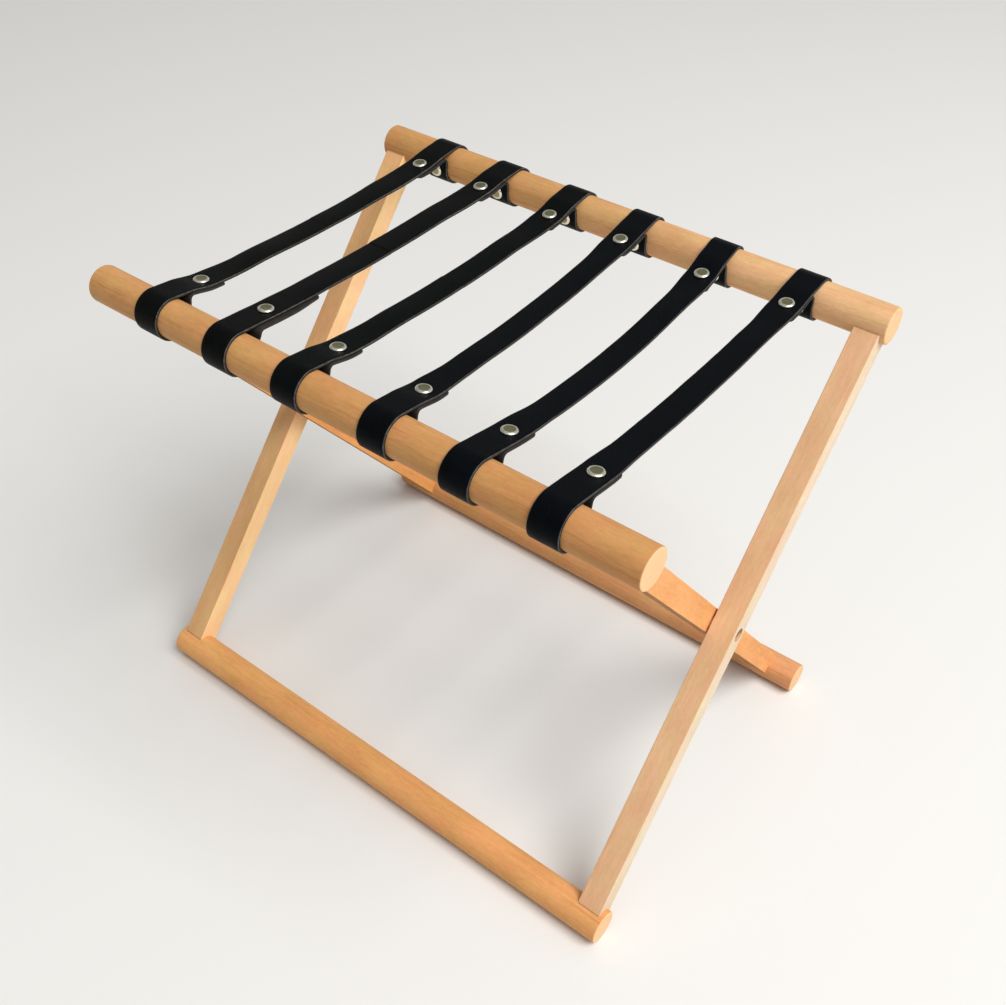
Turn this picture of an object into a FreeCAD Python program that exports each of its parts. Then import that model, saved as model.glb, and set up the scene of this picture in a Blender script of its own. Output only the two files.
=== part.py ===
"""Folding hotel luggage bench: two crossed beech frames that turn on one pivot, with six leather straps.

Millimetres. X runs along the rails, -Y is the front, +Z is up. The origin is on the floor under the middle.
The outer frame holds the back top rail and the front bottom rail, the inner frame the other two.
"""

import FreeCAD
import Part

from collections import namedtuple
import math
import os

Vector = FreeCAD.Vector
X_AXIS = Vector(1, 0, 0)

# Frames
RAIL_LENGTH = 600
TOP_RAIL_RADIUS = 18
BOTTOM_RAIL_RADIUS = 17
RAIL_EDGE = 1.5
HALF_SPREAD = 200
TOP_RAIL_Z = 500
LEG_SIZE = 25
LEG_EDGE = 0.8
RAIL_OVERHANG = 5
LEG_GAP = 2
DOWEL_RADIUS = 6
DOWEL_IN_RAIL = 17
DOWEL_IN_LEG = 32
GLUE_GAP = 0.05

# Pivot hardware
BOLT_RADIUS = 3
BOLT_HEAD_RADIUS = 6
BOLT_HEAD_HEIGHT = 3.5
BOLT_PAST_NUT = 3
BORE_PAST_BOLT = 2
SOCKET_ACROSS = 4
SOCKET_DEPTH = 2.5
ROOM_AROUND_HEAD = 1
RECESS_DEPTH = 6
RUNNING_GAP = 0.05
SEAT_GAP = 0.1
WASHER_PAST_HEAD = 3
NUT_WALL = 2
WOOD_BEHIND_NUT = 7

# Straps: where the middle line of each lies on the front rail and on the back rail, as shares of the room
# on each side of the middle, then how far its top dips below the rails' and how far it bows sideways
STRAP_LINES = [
    (-0.9728, -0.9888, 12, 0),
    (-0.5848, -0.6116, 10.5, -4.5),
    (-0.2076, -0.2232, 13.5, 0),
    (0.2232, 0.1455, 14, 1.5),
    (0.6027, 0.5482, 16.5, 6),
    (0.9723, 0.9567, 13, 0),
]
LEG_TO_STRAP_GAP = 4.5
LOOP_WIDTH = 29
SPAN_WIDTH = 26.5
TAPER_START = 70
TAPER_END = 110
LEATHER = 2.5
LAYER_GAP = 0.2
WRAP_GAP = 0.3
LOOP_TURN_DEG = 84
LOOP_BEND_RADIUS = 5
TAIL_PAST_RIVET = 17
LONG_TAIL_STRAP = 1
LONG_TAIL_PAST_RIVET = 55

# Rivets through both layers of each loop, and screws that hold each loop to its rail
RIVET_INBOARD = 47
CAP_RADIUS = 7.5
CAP_FLAT_RADIUS = 5.4
CAP_HEIGHT = 1.8
CAP_EDGE = 0.6
POST_RADIUS = 2.5
BACK_CAP_RADIUS = 6.5
BACK_CAP_HEIGHT = 1.2
STUB_RADIUS = 1.5
STUB_LENGTH = 4
SCREW_RADIUS = 2
SCREW_LENGTH = 19
METAL_GAP = 0.05
HOLE_GAP = 0.25
HOLE_PAST_LEATHER = 1

# Sizes that follow
RECESS_RADIUS = BOLT_HEAD_RADIUS + ROOM_AROUND_HEAD
WASHER_RADIUS = BOLT_HEAD_RADIUS + WASHER_PAST_HEAD
NUT_RADIUS = BOLT_RADIUS + NUT_WALL
NUT_LENGTH = LEG_SIZE - WOOD_BEHIND_NUT
BOLT_IN_INNER_LEG = NUT_LENGTH + BOLT_PAST_NUT
BOLT_LENGTH = LEG_SIZE - RECESS_DEPTH + SEAT_GAP + LEG_GAP + BOLT_IN_INNER_LEG
BOTTOM_RAIL_Z = BOTTOM_RAIL_RADIUS
PIVOT_Z = (TOP_RAIL_Z + BOTTOM_RAIL_Z) / 2
OUTER_LEG_X = RAIL_LENGTH / 2 - RAIL_OVERHANG - LEG_SIZE / 2
INNER_LEG_X = OUTER_LEG_X - LEG_SIZE - LEG_GAP
STRAP_ROOM = INNER_LEG_X - LEG_SIZE / 2 - LEG_TO_STRAP_GAP - LOOP_WIDTH / 2
BACK_TOP = Vector(0, HALF_SPREAD, TOP_RAIL_Z)
FRONT_TOP = Vector(0, -HALF_SPREAD, TOP_RAIL_Z)
BACK_BOTTOM = Vector(0, HALF_SPREAD, BOTTOM_RAIL_Z)
FRONT_BOTTOM = Vector(0, -HALF_SPREAD, BOTTOM_RAIL_Z)
WRAP_RADIUS = TOP_RAIL_RADIUS + WRAP_GAP + LEATHER / 2
STACK = 2 * LEATHER + LAYER_GAP
CAP_RIM = [(CAP_RADIUS, METAL_GAP), (CAP_RADIUS, CAP_EDGE)]
CAP_PROFILE = CAP_RIM + [(CAP_FLAT_RADIUS, CAP_HEIGHT), (0, CAP_HEIGHT)]

os.makedirs("parts", exist_ok=True)


def save(name, *solids):
    shape = solids[0] if len(solids) == 1 else Part.makeCompound(list(solids))
    shape.exportStep("parts/" + name + ".step")


def rod(start, direction, length, radius):
    return Part.makeCylinder(radius, length, start, direction)


# ---------------------------------------------------------------- frames


def rail(centre, radius, holes):
    """A round rail with eased ends."""
    start = centre - X_AXIS * (RAIL_LENGTH / 2)
    solid = rod(start, X_AXIS, RAIL_LENGTH, radius)
    ends = [edge for edge in solid.Edges if edge.Curve.TypeId == "Part::GeomCircle"]
    solid = solid.makeFillet(RAIL_EDGE, ends)
    return solid.cut(holes) if holes else solid


def leg_direction(top, bottom):
    return (bottom - top).normalize()


def leg(x, top, bottom, holes):
    """A square leg whose ends are hollowed to sit on its two round rails."""
    along = leg_direction(top, bottom)
    length = (bottom - top).Length
    blank = Part.makeBox(LEG_SIZE, LEG_SIZE, length, Vector(-LEG_SIZE / 2, -LEG_SIZE / 2, 0))
    blank = blank.makeFillet(LEG_EDGE, [e for e in blank.Edges if e.Length > LEG_SIZE * 2])
    turn = FreeCAD.Rotation(Vector(0, 0, 1), along)
    blank.Placement = FreeCAD.Placement(top + X_AXIS * x, turn)
    cuts = [
        rod(top - X_AXIS * RAIL_LENGTH, X_AXIS, 2 * RAIL_LENGTH, TOP_RAIL_RADIUS),
        rod(bottom - X_AXIS * RAIL_LENGTH, X_AXIS, 2 * RAIL_LENGTH, BOTTOM_RAIL_RADIUS),
    ]
    return blank.cut(cuts + holes)


def dowel(x, rail_axis, rail_radius, along, extra=0):
    """A dowel across one rail and leg joint; extra widens and lengthens it into the hole that takes it."""
    start = rail_axis + X_AXIS * x + along * (rail_radius - DOWEL_IN_RAIL - extra)
    length = DOWEL_IN_RAIL + DOWEL_IN_LEG + 2 * extra
    return rod(start, along, length, DOWEL_RADIUS + extra)


def frame(leg_x, top, bottom, leg_names, rail_names, group_name, pivot_cuts, screw_holes):
    """A top rail, a bottom rail, the two legs between them and their dowels."""
    along = leg_direction(top, bottom)
    sides = (-leg_x, leg_x)
    joints = [(x, top, TOP_RAIL_RADIUS, along) for x in sides]
    joints += [(x, bottom, BOTTOM_RAIL_RADIUS, along * -1) for x in sides]
    dowel_holes = [dowel(*joint, extra=GLUE_GAP) for joint in joints]
    save(rail_names[0], rail(top, TOP_RAIL_RADIUS, dowel_holes[:2] + screw_holes))
    save(rail_names[1], rail(bottom, BOTTOM_RAIL_RADIUS, dowel_holes[2:]))
    for x, name, cut in zip(sides, leg_names, pivot_cuts):
        save(name, leg(x, top, bottom, dowel_holes + cut))
    save(group_name, *[dowel(*joint) for joint in joints])


# ---------------------------------------------------------------- pivot


def outward(side):
    return X_AXIS * side


def pivot_point(side, x):
    return Vector(side * x, 0, PIVOT_Z)


def outer_leg_pivot_cut(side):
    face_x = OUTER_LEG_X + LEG_SIZE / 2
    recess = rod(pivot_point(side, face_x), outward(-side), RECESS_DEPTH, RECESS_RADIUS)
    bore = rod(pivot_point(side, face_x), outward(-side), LEG_SIZE, BOLT_RADIUS + RUNNING_GAP)
    return [recess, bore]


def inner_leg_pivot_cut(side):
    face_x = INNER_LEG_X + LEG_SIZE / 2
    socket = rod(pivot_point(side, face_x), outward(-side), NUT_LENGTH + GLUE_GAP, NUT_RADIUS + GLUE_GAP)
    depth = BOLT_IN_INNER_LEG + BORE_PAST_BOLT
    bore = rod(pivot_point(side, face_x), outward(-side), depth, BOLT_RADIUS + SEAT_GAP)
    return [socket, bore]


def pivot_bolt(side):
    """Socket-head bolt, sunk in the outer leg and screwed into the inner leg's insert nut."""
    seat_x = OUTER_LEG_X + LEG_SIZE / 2 - RECESS_DEPTH + SEAT_GAP
    head = rod(pivot_point(side, seat_x), outward(side), BOLT_HEAD_HEIGHT, BOLT_HEAD_RADIUS)
    head = head.fuse(rod(pivot_point(side, seat_x), outward(-side), BOLT_LENGTH, BOLT_RADIUS))
    top = pivot_point(side, seat_x + BOLT_HEAD_HEIGHT)
    corner = SOCKET_ACROSS / math.sqrt(3)
    points = []
    for i in range(7):
        angle = math.radians(60 * i)
        points.append(top + Vector(0, corner * math.cos(angle), corner * math.sin(angle)))
    socket = Part.Face(Part.makePolygon(points)).extrude(outward(-side) * SOCKET_DEPTH)
    return head.cut(socket).removeSplitter()


def insert_nut(side):
    """Threaded sleeve, sunk in the inner leg."""
    start = pivot_point(side, INNER_LEG_X + LEG_SIZE / 2)
    body = rod(start, outward(-side), NUT_LENGTH, NUT_RADIUS)
    return body.cut(rod(start, outward(-side), NUT_LENGTH, BOLT_RADIUS + RUNNING_GAP))


def pivot_washer(side):
    """Plain washer that keeps the two legs apart."""
    thickness = LEG_GAP - 2 * SEAT_GAP
    start = pivot_point(side, INNER_LEG_X + LEG_SIZE / 2 + SEAT_GAP)
    disc = rod(start, outward(side), thickness, WASHER_RADIUS)
    return disc.cut(rod(start, outward(side), thickness, BOLT_RADIUS + RUNNING_GAP))


# ---------------------------------------------------------------- strap outline
# The outline is worked out beside one rail: u runs inboard from the rail's axis, w up from it.
# Its centre line is a chain of arcs (centre u, centre w, radius, start, end angle) and lines (u, w, u, w).


def polar(centre, radius, angle):
    return (centre[0] + radius * math.cos(angle), centre[1] + radius * math.sin(angle))


def angle_from(centre, point):
    return math.atan2(point[1] - centre[1], point[0] - centre[0])


# A strap's centre and radius are those of its long sagging arc.
Strap = namedtuple("Strap", "front_x back_x bow centre radius")


def strap_line(front, back, dip, bow):
    """The strap whose arc touches the wraps on both rails and dips by so much between them."""
    drop = WRAP_RADIUS - dip
    radius = (HALF_SPREAD**2 + drop**2 - WRAP_RADIUS**2) / (2 * dip)
    return Strap(front * STRAP_ROOM, back * STRAP_ROOM, bow, (HALF_SPREAD, drop + radius), radius)


def span_point(strap, inboard, below):
    """Point and tilt at a distance from the rail, on the long arc or on a line that runs below it."""
    radius = strap.radius + below
    tilt = math.asin((HALF_SPREAD - inboard) / radius)
    return polar(strap.centre, radius, -math.pi / 2 - tilt), tilt


def loop_chain(strap, tail_end):
    """Centre line from the tail's end, round the rail, to where the strap leaves the rail's top."""
    layer = LEATHER + LAYER_GAP
    turn = math.radians(LOOP_TURN_DEG)
    leave = (WRAP_RADIUS * math.sin(turn), -WRAP_RADIUS * math.cos(turn))
    rise = (math.cos(turn), math.sin(turn))
    side = (math.sin(turn), -math.cos(turn))
    # The bend's circle touches the rising line and the tail's arc from below.
    gap_u = leave[0] + LOOP_BEND_RADIUS * side[0] - strap.centre[0]
    gap_w = leave[1] + LOOP_BEND_RADIUS * side[1] - strap.centre[1]
    reach = strap.radius + layer + LOOP_BEND_RADIUS
    half_b = gap_u * rise[0] + gap_w * rise[1]
    length = -half_b - math.sqrt(half_b**2 - (gap_u**2 + gap_w**2 - reach**2))
    bend_start = (leave[0] + length * rise[0], leave[1] + length * rise[1])
    bend = (bend_start[0] + LOOP_BEND_RADIUS * side[0], bend_start[1] + LOOP_BEND_RADIUS * side[1])
    tail_angle = angle_from(strap.centre, bend)
    tail_tip = angle_from(strap.centre, span_point(strap, tail_end, layer)[0])
    top = angle_from((0, 0), strap.centre)
    return [
        ("arc", strap.centre, strap.radius + layer, tail_tip, tail_angle),
        ("arc", bend, LOOP_BEND_RADIUS, tail_angle + math.pi, angle_from(bend, bend_start)),
        ("line", bend_start, leave),
        ("arc", (0, 0), WRAP_RADIUS, turn - math.pi / 2, top - 2 * math.pi),
    ]


def placed(chain, side):
    """Put a chain beside the front rail (side -1) or, mirrored and reversed, the back rail (side 1)."""
    result = []
    for step in chain:
        if side < 0:
            shift = (-HALF_SPREAD, TOP_RAIL_Z)
            if step[0] == "arc":
                centre = (step[1][0] + shift[0], step[1][1] + shift[1])
                result.append(("arc", centre) + step[2:])
            else:
                ends = [(p[0] + shift[0], p[1] + shift[1]) for p in step[1:]]
                result.append(("line", ends[0], ends[1]))
        elif step[0] == "arc":
            centre = (HALF_SPREAD - step[1][0], step[1][1] + TOP_RAIL_Z)
            result.insert(0, ("arc", centre, step[2], math.pi - step[4], math.pi - step[3]))
        else:
            ends = [(HALF_SPREAD - p[0], p[1] + TOP_RAIL_Z) for p in step[1:]]
            result.insert(0, ("line", ends[1], ends[0]))
    return result


def offset_edges(chain, offset):
    """Edges of the chain moved sideways by offset, to the left of its direction."""
    edges = []
    for step in chain:
        if step[0] == "arc":
            _, centre, radius, start, end = step
            moved = radius - offset if end > start else radius + offset
            points = [polar(centre, moved, start + (end - start) * part) for part in (0, 0.5, 1)]
            points = [Vector(0, *point) for point in points]
            edges.append(Part.Arc(*points).toShape())
        else:
            (y0, z0), (y1, z1) = step[1:]
            length = math.hypot(y1 - y0, z1 - z0)
            left = Vector(0, -(z1 - z0), y1 - y0) * (offset / length)
            edges.append(Part.LineSegment(Vector(0, y0, z0) + left, Vector(0, y1, z1) + left).toShape())
    return edges


def strap_x(strap, y):
    """Where the middle line lies along the rails at a distance behind the middle."""
    slant = (strap.back_x - strap.front_x) * y / (2 * HALF_SPREAD)
    return (strap.front_x + strap.back_x) / 2 + slant + strap.bow * (1 - (y / HALF_SPREAD) ** 2)


def long_edge(strap, side):
    """One long edge of the strap seen from above: wide over the rails, a little narrower between them."""
    beyond = HALF_SPREAD + 2 * WRAP_RADIUS
    half = [(beyond, LOOP_WIDTH), (HALF_SPREAD, LOOP_WIDTH), (HALF_SPREAD - TAPER_START, LOOP_WIDTH)]
    half += [(HALF_SPREAD - TAPER_END, SPAN_WIDTH)]
    stations = [(-y, width) for y, width in half] + [(0, SPAN_WIDTH)] + half[::-1]
    curve = Part.BSplineCurve()
    curve.interpolate([Vector(strap_x(strap, y) + side * width / 2, y, 0) for y, width in stations])
    return curve.toShape()


def outline_of(edges):
    return Part.Face(Part.Wire(Part.__sortEdges__(edges)))


def closed(edges_a, edges_b):
    """Join two runs of edges at both ends."""
    joins = []
    for i, vertex in ((0, 0), (-1, -1)):
        a, b = edges_a[i].Vertexes[vertex].Point, edges_b[i].Vertexes[vertex].Point
        joins.append(Part.LineSegment(a, b).toShape())
    return outline_of(edges_a + edges_b + joins)


def leather_strap(strap, front_tail_past_rivet):
    """One length of leather: a loop round each top rail, its tails under the span that joins the loops."""
    front = placed(loop_chain(strap, RIVET_INBOARD + front_tail_past_rivet), -1)
    back = placed(loop_chain(strap, RIVET_INBOARD + TAIL_PAST_RIVET), 1)
    span_centre = (0, strap.centre[1] + TOP_RAIL_Z)
    half_turn = math.atan2(strap.centre[0], strap.centre[1])
    span = ("arc", span_centre, strap.radius, -math.pi / 2 - half_turn, -math.pi / 2 + half_turn)
    chain = front + [span] + back
    profile = closed(offset_edges(chain, LEATHER / 2), offset_edges(chain, -LEATHER / 2))
    block = profile.extrude(X_AXIS * RAIL_LENGTH)
    block.translate(X_AXIS * (-RAIL_LENGTH / 2))
    plan = closed([long_edge(strap, -1)], [long_edge(strap, 1)])
    return block.common(plan.extrude(Vector(0, 0, TOP_RAIL_Z * 2)))


# ---------------------------------------------------------------- rivets and screws


def turned(profile, place):
    """Solid turned from (radius, height) points, with its axis and base at the placement."""
    points = [Vector(r, 0, h) for r, h in profile]
    solid = Part.Face(Part.makePolygon(points + points[:1])).revolve(Vector(), Vector(0, 0, 1), 360)
    solid.Placement = place
    return solid


def upright_at(strap, inboard, height, side, direction):
    """Placement at a point beside a rail, with its Z along a direction given as (inboard, up)."""
    y = side * (HALF_SPREAD - inboard)
    point = Vector(strap_x(strap, y), y, TOP_RAIL_Z + height)
    turn = FreeCAD.Rotation(Vector(0, 0, 1), Vector(0, -side * direction[0], direction[1]))
    return FreeCAD.Placement(point, turn)


def rivet_place(strap, side):
    """On the strap's top face, pointing out of it."""
    (u, w), tilt = span_point(strap, RIVET_INBOARD, -LEATHER / 2)
    return upright_at(strap, u, w, side, (math.sin(tilt), math.cos(tilt)))


def rivet_cap(place):
    """A cap on a hollow post, which takes the stub of the rivet's back."""
    foot = -STACK - METAL_GAP
    bore = STUB_RADIUS + METAL_GAP
    profile = [(0, foot + STUB_LENGTH + METAL_GAP), (bore, foot + STUB_LENGTH + METAL_GAP)]
    profile += [(bore, foot), (POST_RADIUS, foot), (POST_RADIUS, METAL_GAP)]
    return turned(profile + CAP_PROFILE, place)


def rivet_back(place):
    """The rivet's flat back under the tail, with the stub that runs up into the post."""
    top = -STACK - METAL_GAP
    profile = [(0, top - BACK_CAP_HEIGHT), (BACK_CAP_RADIUS - CAP_EDGE, top - BACK_CAP_HEIGHT)]
    profile += [(BACK_CAP_RADIUS, top - CAP_EDGE), (BACK_CAP_RADIUS, top), (STUB_RADIUS, top)]
    profile += [(STUB_RADIUS, top + STUB_LENGTH - METAL_GAP), (0, top + STUB_LENGTH - METAL_GAP)]
    return turned(profile, place)


def screw_place(strap, side):
    """On the loop's outer face at the rail's inboard side, pointing away from the rail."""
    turn = math.radians(LOOP_TURN_DEG)
    face = WRAP_RADIUS + LEATHER / 2
    out = (math.sin(turn), -math.cos(turn))
    return upright_at(strap, face * out[0], face * out[1], side, out)


def loop_screw(place):
    """A screw with the rivets' cap for its head, through the loop into the rail."""
    profile = [(0, -SCREW_LENGTH), (SCREW_RADIUS / 2, -SCREW_LENGTH + SCREW_RADIUS)]
    profile += [(SCREW_RADIUS, -SCREW_LENGTH + 3 * SCREW_RADIUS), (SCREW_RADIUS, METAL_GAP)]
    return turned(profile + CAP_PROFILE, place)


def hole(place, radius, depth):
    profile = [(0, -depth), (radius, -depth), (radius, CAP_HEIGHT), (0, CAP_HEIGHT)]
    return turned(profile, place)


# ---------------------------------------------------------------- build

STRAPS = [strap_line(*line) for line in STRAP_LINES]
SCREW_PLACES = {side: [screw_place(strap, side) for strap in STRAPS] for side in (-1, 1)}
RIVET_PLACES = {side: [rivet_place(strap, side) for strap in STRAPS] for side in (-1, 1)}
SIDE_NAMES = {-1: "front", 1: "back"}


def pilot_holes(side):
    return [hole(place, SCREW_RADIUS + GLUE_GAP, SCREW_LENGTH + GLUE_GAP) for place in SCREW_PLACES[side]]


frame(
    OUTER_LEG_X,
    BACK_TOP,
    FRONT_BOTTOM,
    ("outer_leg_left", "outer_leg_right"),
    ("back_top_rail", "front_bottom_rail"),
    "outer_frame_dowels",
    (outer_leg_pivot_cut(-1), outer_leg_pivot_cut(1)),
    pilot_holes(1),
)
frame(
    INNER_LEG_X,
    FRONT_TOP,
    BACK_BOTTOM,
    ("inner_leg_left", "inner_leg_right"),
    ("front_top_rail", "back_bottom_rail"),
    "inner_frame_dowels",
    (inner_leg_pivot_cut(-1), inner_leg_pivot_cut(1)),
    pilot_holes(-1),
)

for side, name in ((-1, "left"), (1, "right")):
    save("pivot_bolt_" + name, pivot_bolt(side))
    save("insert_nut_" + name, insert_nut(side))
    save("pivot_washer_" + name, pivot_washer(side))

for number, strap in enumerate(STRAPS):
    past = LONG_TAIL_PAST_RIVET if number == LONG_TAIL_STRAP else TAIL_PAST_RIVET
    leather = leather_strap(strap, past)
    holes = []
    for side in (-1, 1):
        rivet, screw = RIVET_PLACES[side][number], SCREW_PLACES[side][number]
        holes.append(hole(rivet, POST_RADIUS + HOLE_GAP, STACK + HOLE_PAST_LEATHER))
        holes.append(hole(screw, SCREW_RADIUS + HOLE_GAP, LEATHER + HOLE_PAST_LEATHER))
    save("strap_" + str(number + 1), leather.cut(holes))

for side, name in SIDE_NAMES.items():
    save(name + "_rivet_caps", *[rivet_cap(place) for place in RIVET_PLACES[side]])
    save(name + "_rivet_backs", *[rivet_back(place) for place in RIVET_PLACES[side]])
    save(name + "_loop_screws", *[loop_screw(place) for place in SCREW_PLACES[side]])
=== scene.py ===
"""Folding hotel luggage bench in beech, with six black leather straps on brass-capped rivets.

Metres. X runs along the rails, -Y is the front, +Z is up and the floor is z = 0.
Beside a rail, u is measured inboard from the rail's axis and w up from it.
"""

import math
from collections import namedtuple

import bpy
from bpy.props import FloatProperty, FloatVectorProperty, PointerProperty
from mathutils import Matrix, Vector, noise


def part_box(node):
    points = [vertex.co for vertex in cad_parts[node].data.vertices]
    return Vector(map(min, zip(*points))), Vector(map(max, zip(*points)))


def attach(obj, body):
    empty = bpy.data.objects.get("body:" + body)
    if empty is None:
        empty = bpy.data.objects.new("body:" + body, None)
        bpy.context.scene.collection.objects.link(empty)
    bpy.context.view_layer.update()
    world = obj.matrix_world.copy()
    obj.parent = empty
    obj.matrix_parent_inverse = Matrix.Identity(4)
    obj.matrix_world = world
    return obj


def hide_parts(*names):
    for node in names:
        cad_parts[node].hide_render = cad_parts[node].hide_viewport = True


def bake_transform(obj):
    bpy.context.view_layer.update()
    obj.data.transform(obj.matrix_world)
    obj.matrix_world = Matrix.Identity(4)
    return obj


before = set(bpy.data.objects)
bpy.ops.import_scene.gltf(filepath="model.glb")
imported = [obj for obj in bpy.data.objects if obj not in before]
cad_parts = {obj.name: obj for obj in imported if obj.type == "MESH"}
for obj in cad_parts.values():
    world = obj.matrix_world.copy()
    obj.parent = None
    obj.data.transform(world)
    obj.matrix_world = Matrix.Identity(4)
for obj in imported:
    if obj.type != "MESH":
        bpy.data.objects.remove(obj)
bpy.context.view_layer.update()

bl_info = {
    "name": "Hotel Luggage Bench",
    "version": (1, 0, 0),
    "blender": (4, 5, 0),
    "location": "3D View > Sidebar > Luggage Bench",
    "description": "Finishes a folding luggage bench in beech, black leather and brass",
    "category": "Object",
}

# ---------------------------------------------------------------- the frame's own places

RAIL_LOW, RAIL_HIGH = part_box("back_top_rail")
HALF_SPREAD = (RAIL_LOW.y + RAIL_HIGH.y) / 2
TOP_RAIL_Z = (RAIL_LOW.z + RAIL_HIGH.z) / 2
BOTTOM_LOW, BOTTOM_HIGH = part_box("front_bottom_rail")
BOTTOM_RAIL_Z = (BOTTOM_LOW.z + BOTTOM_HIGH.z) / 2

# The bottom rails lie on the floor
BOTTOM_RAIL_RADIUS = BOTTOM_RAIL_Z

SIDES = {"front": -1, "back": 1}
FRAME_BODY = {"front": "inner_frame", "back": "outer_frame"}
STRAP_BODY = {"front": "front_straps", "back": "back_straps"}

StrapLine = namedtuple("StrapLine", "front back dip bow width slump skew taper")

# Middle line over the front and the back rail, dip below the rails' tops, sideways bow and width between
# the rails. Then, as front and back pairs, how far the rivet pulls the strap down, how far to the right the
# returning layer lies, and where beside the rail the strap starts to narrow
STRAP_LINES = [
    StrapLine(-0.2179, -0.2215, 0.0120, 0.0, 0.0262, (0.0028, 0.0020), (0.0008, 0.0022), (0.056, 0.100)),
    StrapLine(-0.1310, -0.1370, 0.0105, -0.0045, 0.0280, (0.0005, 0.0025), (0.0048, 0.0014), (0.056, 0.095)),
    StrapLine(-0.0465, -0.0500, 0.0135, 0.0, 0.0262, (0.0026, 0.0034), (0.0012, 0.0), (0.062, 0.056)),
    StrapLine(0.0500, 0.0326, 0.0140, 0.0015, 0.0248, (0.0022, 0.0008), (0.0010, 0.0012), (0.052, 0.056)),
    StrapLine(0.1350, 0.1228, 0.0165, 0.006, 0.0248, (0.0004, 0.0034), (0.0008, -0.0006), (0.054, 0.056)),
    StrapLine(0.2178, 0.2143, 0.0130, 0.0, 0.0252, (0.0008, 0.0022), (0.0006, 0.0005), (0.052, 0.056)),
]
LONG_TAIL_STRAP = 1
RAIL_RADIUS = 0.018
WRAP_GAP = 0.0003
LAYER_GAP = 0.0002

# The turn round the rail down to where the returning layer rises, and the bend at the top of that rise
LOOP_TURN = math.radians(84)
LOOP_BEND_RADIUS = 0.005

# Distances between the cross-sections of a strap, from the tail to the span
TAIL_STEP, BEND_STEP, RISE_STEP, TURN_STEP, SPAN_STEP = 0.0020, 0.0006, 0.0015, 0.0010, 0.0025
TAPER_LENGTH = 0.040
TAIL_CORNER = 0.0045
CAP_SEAT = 0.00005

# How far the leather leaves a plain strip: a span's edges curl down and the span waves along its length, the
# face sinks round a cap, the cut edges wander, and the two kinds of tail lift toward the span
CUP = 0.0008
SWAY = 0.0008
DIMPLE, DIMPLE_WIDTH = 0.00035, 0.006
RAGGED = 0.00022
TAIL_LIFT, LONG_TAIL_LIFT = 0.0016, 0.0018

# Where these set in, inboard of the rail's axis: the rivet's pull grows and fades, and a span curls and waves
PULL_GROWS, PULL_FADES = (0.022, 0.050), (0.062, 0.125)
SPAN_FREE = 0.060, 0.100

# Where the returning layer goes askew, by its height over the rail's axis and by how far inboard it is
SKEW_HEIGHT, SKEW_INBOARD = (-0.004, 0.012), (0.016, 0.020)

# ---------------------------------------------------------------- finishes


def maths(operation, reflected=False):
    """A method that adds one Math node, with its values turned round where it is a reflected operator."""

    def method(self, *others):
        values = (*others, self) if reflected else (self, *others)
        return self.nodes.node("ShaderNodeMath", {"operation": operation}, dict(enumerate(values)))

    return method


class Signal:
    """A value in a node tree. Arithmetic on it adds the Math nodes that work it out."""

    def __init__(self, nodes, socket):
        self.nodes = nodes
        self.socket = socket

    __add__ = __radd__ = maths("ADD")
    __mul__ = __rmul__ = maths("MULTIPLY")
    __sub__, __rsub__ = maths("SUBTRACT"), maths("SUBTRACT", reflected=True)
    __truediv__, __rtruediv__ = maths("DIVIDE"), maths("DIVIDE", reflected=True)
    __pow__, __rpow__ = maths("POWER"), maths("POWER", reflected=True)
    sine, root, size, angle = maths("SINE"), maths("SQRT"), maths("ABSOLUTE"), maths("ARCTAN2")


class Nodes:
    """A node tree being built."""

    def __init__(self, tree):
        self.tree = tree
        self.tree.nodes.clear()

    def node(self, kind, settings=None, inputs=None, out=0):
        """Add any node: its settings come first, then the values or links of its sockets."""
        made = self.tree.nodes.new(kind)
        for name, value in (settings or {}).items():
            setattr(made, name, value)
        for name, value in (inputs or {}).items():
            if isinstance(value, Signal):
                self.tree.links.new(value.socket, made.inputs[name])
            else:
                made.inputs[name].default_value = value
        return Signal(self, made.outputs[out]) if made.outputs else None

    def place(self, kind="Object"):
        return self.node("ShaderNodeTexCoord", out=kind)

    def along(self, vector, axis):
        """How far a vector reaches along an axis."""
        settings = {"operation": "DOT_PRODUCT"}
        return self.node("ShaderNodeVectorMath", settings, {0: vector, 1: tuple(axis)}, "Value")

    def point(self, x, y, z):
        return self.node("ShaderNodeCombineXYZ", None, {0: x, 1: y, 2: z})

    def noise(self, vector, scale=1.0, detail=2.0, roughness=0.5):
        inputs = {"Vector": vector, "Scale": scale, "Detail": detail, "Roughness": roughness}
        return self.node("ShaderNodeTexNoise", None, inputs)

    def cells(self, vector, scale=1.0, feature="F1", out="Distance"):
        inputs = {"Vector": vector, "Scale": scale}
        return self.node("ShaderNodeTexVoronoi", {"feature": feature}, inputs, out)

    def between(self, value, low, high, start=0.0, end=1.0):
        """Smooth step from start to end as the value goes from low to high."""
        settings = {"interpolation_type": "SMOOTHSTEP", "clamp": True}
        inputs = {0: value, 1: low, 2: high, 3: start, 4: end}
        return self.node("ShaderNodeMapRange", settings, inputs)

    def mix(self, factor, a, b, blend="MIX"):
        """Mix two colours, each a link or three numbers."""
        a, b = (c if isinstance(c, Signal) else (*c, 1) for c in (a, b))
        settings = {"data_type": "RGBA", "blend_type": blend, "clamp_factor": True}
        return self.node("ShaderNodeMix", settings, {0: factor, 6: a, 7: b}, 2)

    def tinted(self, colour, tint):
        return self.mix(1.0, colour, tint, "MULTIPLY")

    def bump(self, height, distance, strength):
        inputs = {"Strength": strength, "Distance": distance, "Height": height}
        return self.node("ShaderNodeBump", None, inputs)


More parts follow.
